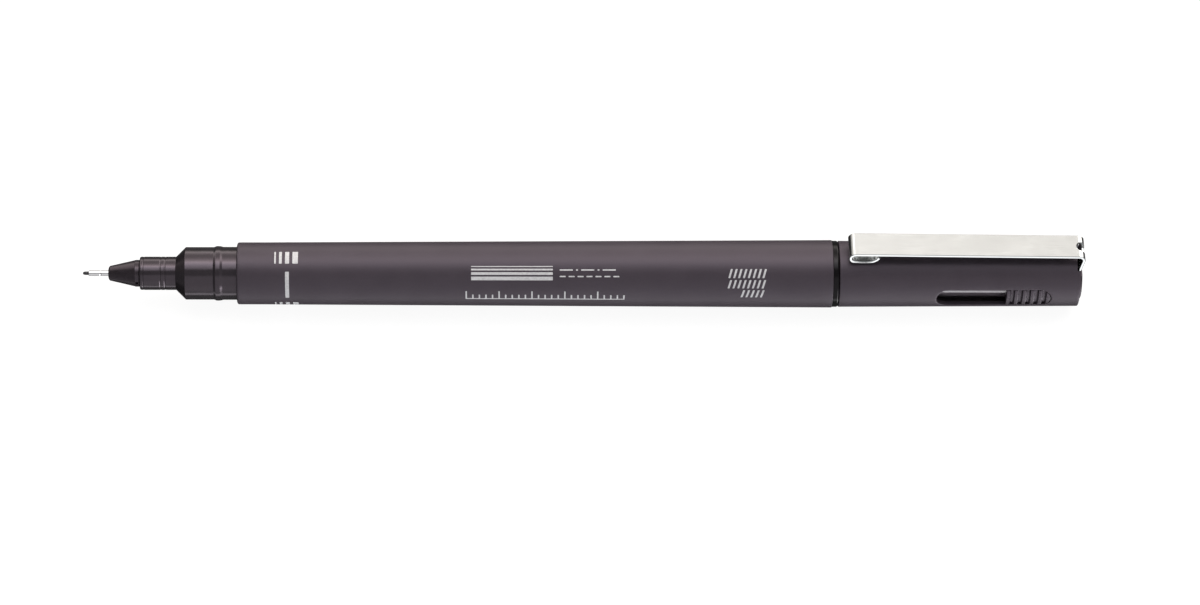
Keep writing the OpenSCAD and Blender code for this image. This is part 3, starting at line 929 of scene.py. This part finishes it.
def pad_groove(x):
    """Depth of the pad's surface below its ridge tops: five grooves with eased edges."""
    pitch, width, depth = 1.22, 0.62, 0.36
    turns = (x - PAD_START - 0.6) / pitch
    k = floor(turns)
    if k < 0 or k > 4:
        return 0.0
    along = (turns - k) * pitch
    if along < width:
        from_wall = min(along, width - along)
        return depth * min(1.0, (from_wall + 0.02) / 0.11) ** 0.8
    from_wall = min(along - width, pitch - along)
    return 0.05 * max(0.0, 1 - from_wall / 0.10) ** 2


def build_latch_pad(name, side):
    """Ribbed pad that fills the rear of a window; side is the sign of its y."""
    end = WINDOW_END - 0.06
    base_r, edge = 4.12, 0.10
    half_width = (WINDOW_H - 0.1) / 2      # also the radius of the round rear end

    def edge_drop(distance):
        if distance >= edge:
            return 0.0
        return edge * (1 - sqrt(max(0.0, 1 - (1 - distance / edge) ** 2)))

    xs = []
    x = PAD_START
    while x < end - 1e-6:
        xs.append(x)
        x += 0.055 if x < end - 0.35 else 0.02
    xs.append(end)

    shape = Shape()
    rows = []
    for x in xs:
        w = half_width
        if x > end - half_width:
            t = (x - (end - half_width)) / half_width
            w = half_width * sqrt(max(0.0, 1 - min(1.0, t) ** 2))
        top_r = cap_r(x) - 0.03 - (pad_groove(x) + max(edge_drop(x - PAD_START),
                                                       edge_drop(end - x)))
        # half section from base to top as (z, radius), its top edge rounded
        e = min(edge, w * 0.5)
        flank = [(w, base_r)]
        for i in range(5):
            a = radians(22.5 * i)
            flank.append((w - e * (1 - cos(a)), max(base_r + 0.02, top_r - e * (1 - sin(a)))))
        crown = [((-w + e) + (2 * w - 2 * e) * i / 12, max(base_r + 0.02, top_r))
                 for i in range(1, 12)]
        section = [(-z, r) for z, r in flank] + crown + flank[::-1]
        rows.append(shape.add((x, side * sqrt(r * r - z * z), z) for z, r in section))
    shape.skin(rows)
    shape.faces += [rows[0], rows[-1]]
    add_part(name, shape, "cap", "matte", ["cap_end_plug"], angle=38, merge=1e-3)


# ------------------------------------------------------------------ clip


def clip_path():
    """Outer face of the strip in (x, z), from the tail end inside the cap to the free end.
    Each piece is (length, function of length -> point and outward normal, is it curved)."""
    tilt, lean = radians(0.9), radians(10)      # of the long arm and of the rear upright
    bend_r, curl_r, belly_r, turn_r, tail_r = 1.05, 1.08, 6.6, 2.6, 0.65
    tail_start, tail_z = 149.95, 2.92
    curl_x = 117.73
    curl_end, belly_end, turn_end = radians(256), radians(272), radians(328)

    def unit(a):
        return Vector((cos(a), sin(a)))

    bend = Vector((151.62, 5.79))
    arm_out = Vector((sin(tilt), cos(tilt)))
    arm_along = Vector((-cos(tilt), sin(tilt)))
    arm = (bend.x + bend_r * arm_out.x - curl_x - curl_r * arm_out.x) / cos(tilt)
    curl = bend + bend_r * arm_out + arm * arm_along - curl_r * arm_out
    belly = curl + (curl_r - belly_r) * unit(curl_end)
    turn = belly + (belly_r - turn_r) * unit(belly_end)
    upright_out = Vector((cos(lean), -sin(lean)))
    upright_top = bend + bend_r * upright_out
    upright = (upright_top.y - (tail_z + tail_r + tail_r * upright_out.y)) / cos(lean)
    tail = upright_top - upright * Vector((sin(lean), cos(lean))) - tail_r * upright_out
    pieces = []

    def add_line(p, q):
        length = (q - p).length
        along = (q - p) / length
        out = Vector((along.y, -along.x))
        pieces.append((length, lambda s: (p + along * s, out), False))

    def add_arc(centre, r, start, end):
        length = r * abs(end - start)

        def at(s):
            out = unit(start + (end - start) * s / length)
            return centre + r * out, out

        pieces.append((length, at, True))

    add_line(Vector((tail_start, tail_z)), Vector((tail.x, tail_z)))
    add_arc(tail, tail_r, radians(-90), -lean)
    add_line(tail + tail_r * upright_out, upright_top)
    add_arc(bend, bend_r, -lean, pi / 2 - tilt)
    add_line(bend + bend_r * arm_out, curl + curl_r * arm_out)
    add_arc(curl, curl_r, pi / 2 - tilt, curl_end)
    add_arc(belly, belly_r, curl_end, belly_end)
    add_arc(turn, turn_r, belly_end, turn_end)
    # middle of the bend, measured along the strip
    hole_at = sum(piece[0] for piece in pieces[:3]) + bend_r * (radians(45) + lean)
    return pieces, hole_at


def build_clip():
    pieces, hole_mid = clip_path()
    ends = np.cumsum([0.0] + [piece[0] for piece in pieces])
    total = float(ends[-1])

    def on_clip(s, y, height):
        s = min(max(s, 0.0), total)
        i = int(min(np.searchsorted(ends, s, side="right") - 1, len(pieces) - 1))
        point, out = pieces[i][1](s - ends[i])
        point = point + out * height
        return (point.x, y, point.y)

    stations = []
    for (length, _, curved), start in zip(pieces, ends):
        spacing = 0.075 if curved and length < 4 else 0.16 if curved else 0.9
        n = max(2, int(ceil(length / spacing)))
        stations += [start + length * i / n for i in range(n)]
    stations.append(total)

    # flat outline as (length along the strip, y): both ends have small round corners
    c, w = 0.35, CLIP_W / 2
    side = [s for s in stations if c + 0.02 < s < total - c - 0.02]
    outline = arc(total - c, -w + c, c, start=-90, sweep=90, count=6)
    outline += [(total, y) for y in np.linspace(-w + c, w - c, 8)[1:-1]]
    outline += arc(total - c, w - c, c, start=0, sweep=90, count=6)
    outline += [(s, w) for s in reversed(side)]
    outline += arc(c, w - c, c, start=90, sweep=90, count=6)
    outline += [(0.0, y) for y in np.linspace(w - c, -w + c, 8)[1:-1]]
    outline += arc(c, -w + c, c, start=180, sweep=90, count=6)
    outline += [(s, -w) for s in side]

    # round-ended hole in the bend, 1.6 wide and about 2.1 long
    r = 0.8
    straight = 1.06 - r
    steps = [straight * (1 - i / 4) for i in range(1, 8)]
    hole = arc(hole_mid + straight, 0.0, r, start=-90, sweep=180, count=20)
    hole += [(hole_mid + step, r) for step in steps]
    hole += arc(hole_mid - straight, 0.0, r, start=90, sweep=180, count=20)
    hole += [(hole_mid - step, -r) for step in steps]

    # walls with bevelled edges, then the two faces
    shape = Shape()
    outline_inset = offset_loop(outline, CLIP_BEVEL)
    hole_inset = offset_loop(hole, -CLIP_BEVEL)
    for loop, inset, is_hole in ((outline, outline_inset, False), (hole, hole_inset, True)):
        rings = [shape.add(on_clip(s, y, height) for s, y in points) for points, height in (
            (inset, 0.0), (loop, -CLIP_BEVEL), (loop, -CLIP_T + CLIP_BEVEL), (inset, -CLIP_T))]
        for a, b in zip(rings, rings[1:]):
            if is_hole:
                shape.strip(b, a)
            else:
                shape.strip(a, b)
    extra = [(s, y) for s in stations for y in np.linspace(-w + 0.22, w - 0.22, 11)]
    points, triangles = triangulate(outline_inset, [hole_inset], extra, margin=0.05)
    for height in (0.0, -CLIP_T):
        shape.patch([on_clip(s, y, height) for s, y in points], triangles)
    add_part("clip_strip", shape, "clip", "clip", ["clip"], angle=42)


# ------------------------------------------------------------------ floor and studio dome


def build_floor():
    half, centre_x, z = 2500.0, 80, -5.19
    n = 8
    verts = [((-half + 2 * half * i / n + centre_x) * MM, (-half + 2 * half * j / n) * MM, z * MM)
             for j in range(n + 1) for i in range(n + 1)]
    faces = []
    for j in range(n):
        for i in range(n):
            k = j * (n + 1) + i
            faces.append([k, k + 1, k + n + 2, k + n + 1])
    mesh = bpy.data.meshes.new("floor")
    mesh.from_pydata(verts, [], faces)
    ob = bpy.data.objects.new("floor", mesh)
    bpy.context.scene.collection.objects.link(ob)
    mesh.materials.append(MATERIALS["floor"])


# Dome brightness as (degrees, level). The angle goes over the pen from the camera's side (0)
# by the top (90) to the far side (180); negative angles are below the pen.
# A colour ramp holds at most 32 stops, so the lower half has its own.
UPPER = [
    (-2, 1.04), (25, 1.04), (34, 1.0), (39, 0.8), (43, 0.42), (65, 0.42), (69, 0.8),
    (73, 2.0), (80, 2.9), (86, 3.7), (91, 4.6), (97, 5.9), (102, 6.2), (107, 4.7),
    (112, 3.4), (118, 2.45), (124, 1.8), (130, 1.48), (137, 1.36), (144, 1.5), (150, 2.2),
    (157, 2.8), (163, 2.0), (168, 0.6), (174, 0.25), (180, 0.18)]
LOWER = [
    (-180, 0.15), (-110, 0.10), (-91, 0.07), (-79, 0.17), (-67, 0.18), (-61, 0.4),
    (-57, 1.6), (-52, 2.3), (-48, 1.6), (-44, 0.9), (-41, 0.62), (-35, 0.9), (-28, 1.05),
    (-18, 1.12), (-8, 1.07), (-2, 1.04)]
# off to the sides, where only the rough surfaces look, the lamps stand further back
SIDES = [
    (-2, 1.04), (34, 1.04), (46, 0.62), (74, 0.50), (92, 0.9), (102, 2.4), (110, 4.6),
    (130, 5.0), (150, 4.8), (163, 3.2), (172, 0.6), (180, 0.18)]
TOP_LEVEL = 8          # ramp colours hold levels divided by this


def dome_tones(w, turn, stops):
    """Brightness as a smooth function of the angle, given as a fraction of a turn."""
    ramp = w.node("ShaderNodeValToRGB")
    ramp.color_ramp.interpolation = "EASE"
    elements = ramp.color_ramp.elements
    while len(elements) > 1:
        elements.remove(elements[-1])
    for i, (deg, level) in enumerate(stops):
        position = deg / 360 + 0.5
        element = elements[0] if i == 0 else elements.new(position)
        element.position = position
        element.color = (*[level / TOP_LEVEL] * 3, 1)
    w.feed(ramp.inputs["Fac"], turn)
    return w.times(ramp.outputs["Color"], float(TOP_LEVEL))


def dome_level(w, direction, angle):
    """Brightness of the dome; the fades below work on parts of the unit view direction."""
    x, y, z = (direction.outputs[axis] for axis in "XYZ")
    turn = w.maths("ADD", w.maths("DIVIDE", angle, 2 * pi), 0.5)
    off_side = w.maths("ABSOLUTE", x)
    above = w.mix(w.fade(off_side, over=(0.22, 0.36)),
                  dome_tones(w, turn, UPPER), dome_tones(w, turn, SIDES))
    level = w.mix(w.maths("GREATER_THAN", angle, radians(-2)), dome_tones(w, turn, LOWER), above)
    # a bright patch low on the camera's side, towards the cap
    low = w.fade(w.times(z, -1.0), over=(0.05, 0.35))
    near_side = w.fade(w.times(y, -1.0), over=(0.05, 0.30))
    before_end = w.maths("SUBTRACT", 1.0, w.fade(x, over=(0.50, 0.62)))
    band = w.times(w.fade(x, over=(0.26, 0.36)), before_end)
    level = w.mix(w.times(band, w.times(near_side, low)), level, 8.0)
    # dimmer in two stages towards the nib, and dark past both ends
    nibward = w.times(x, -1.0)
    level = w.times(level, w.mix(w.fade(nibward, over=(0.24, 0.42)), 1.0, 0.5))
    level = w.times(level, w.mix(w.fade(nibward, over=(0.50, 0.62)), 1.0, 0.4))
    return w.mix(w.fade(off_side, over=(0.80, 0.95)), level, 0.20)


def build_world():
    world = bpy.data.worlds.new("studio")
    bpy.context.scene.world = world
    world.use_nodes = True
    w = Nodes(world.node_tree)
    w.tree.nodes.clear()
    direction = w.node("ShaderNodeSeparateXYZ")
    w.feed(direction.inputs[0], w.node("ShaderNodeTexCoord").outputs["Generated"])
    angle = w.maths("ARCTAN2", direction.outputs["Z"], w.times(direction.outputs["Y"], -1.0))
    seen = w.node("ShaderNodeLightPath").outputs["Is Camera Ray"]
    background = w.node("ShaderNodeBackground")
    level = dome_level(w, direction, angle)
    w.feed(background.inputs["Strength"], w.mix(seen, level, 1.0))
    # warm lamps above and behind, neutral everywhere else and to the camera
    warm = w.times(w.fade(angle, over=(radians(84), radians(112))),
                   w.maths("SUBTRACT", 1.0, seen))
    colour = w.node("ShaderNodeCombineColor")
    for channel, value in (("Red", 1.0), ("Green", 0.945), ("Blue", 0.885)):
        w.feed(colour.inputs[channel], w.mix(warm, 1.0, value))
    w.feed(background.inputs["Color"], colour.outputs["Color"])
    output = w.node("ShaderNodeOutputWorld")
    w.feed(output.inputs["Surface"], background.outputs["Background"])


# ------------------------------------------------------------------ camera


def build_camera():
    """Camera on the -Y side, looking down at the middle of the pen."""
    elevation, yaw, roll = radians(52), radians(1.24), radians(0.035)
    distance, view_width, sensor = 704.0, 183.6, 36.0
    aim_x, aim_drop = 78.93, 4.42      # the drop is along the view's upward direction
    level_right = Vector((1, 0, 0))
    level_up = Vector((0, sin(elevation), cos(elevation)))
    level_back = Vector((0, -cos(elevation), sin(elevation)))
    back = cos(yaw) * level_back - sin(yaw) * level_right
    yawed_right = cos(yaw) * level_right + sin(yaw) * level_back
    right = cos(roll) * yawed_right + sin(roll) * level_up
    up = cos(roll) * level_up - sin(roll) * yawed_right
    eye = Vector((aim_x, 0, 0)) - aim_drop * level_up + distance * back
    data = bpy.data.cameras.new("camera")
    data.sensor_width = sensor
    data.lens = sensor * distance / view_width
    data.clip_start = 0.01
    data.clip_end = 20.0
    camera = bpy.data.objects.new("camera", data)
    scene = bpy.context.scene
    scene.collection.objects.link(camera)
    rotation = Matrix((right, up, back)).transposed()
    camera.matrix_world = Matrix.Translation(eye * MM) @ rotation.to_4x4()
    scene.camera = camera


# ------------------------------------------------------------------ build, in this order

build_nib()
build_sleeve()
build_nose()
build_front_section()
build_barrel()
build_tail_plug()
build_print()
build_cap_shell()
build_liner()
build_end_plug()
build_latch_pad("latch_pad_near", -1)
build_latch_pad("latch_pad_far", 1)
build_clip()

# CAD pieces hidden inside the pen keep their meshes
for node_name, key in (("relay_wick", "wick"), ("ink_reservoir", "bundle"),
                       ("reservoir_film", "film")):
    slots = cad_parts[node_name].data.materials
    slots.clear()
    slots.append(MATERIALS[key])

build_floor()
build_world()
view = bpy.context.scene.view_settings
view.view_transform = "Standard"
view.look = "None"
view.exposure = 0.0
build_camera()

bpy.context.view_layer.update()
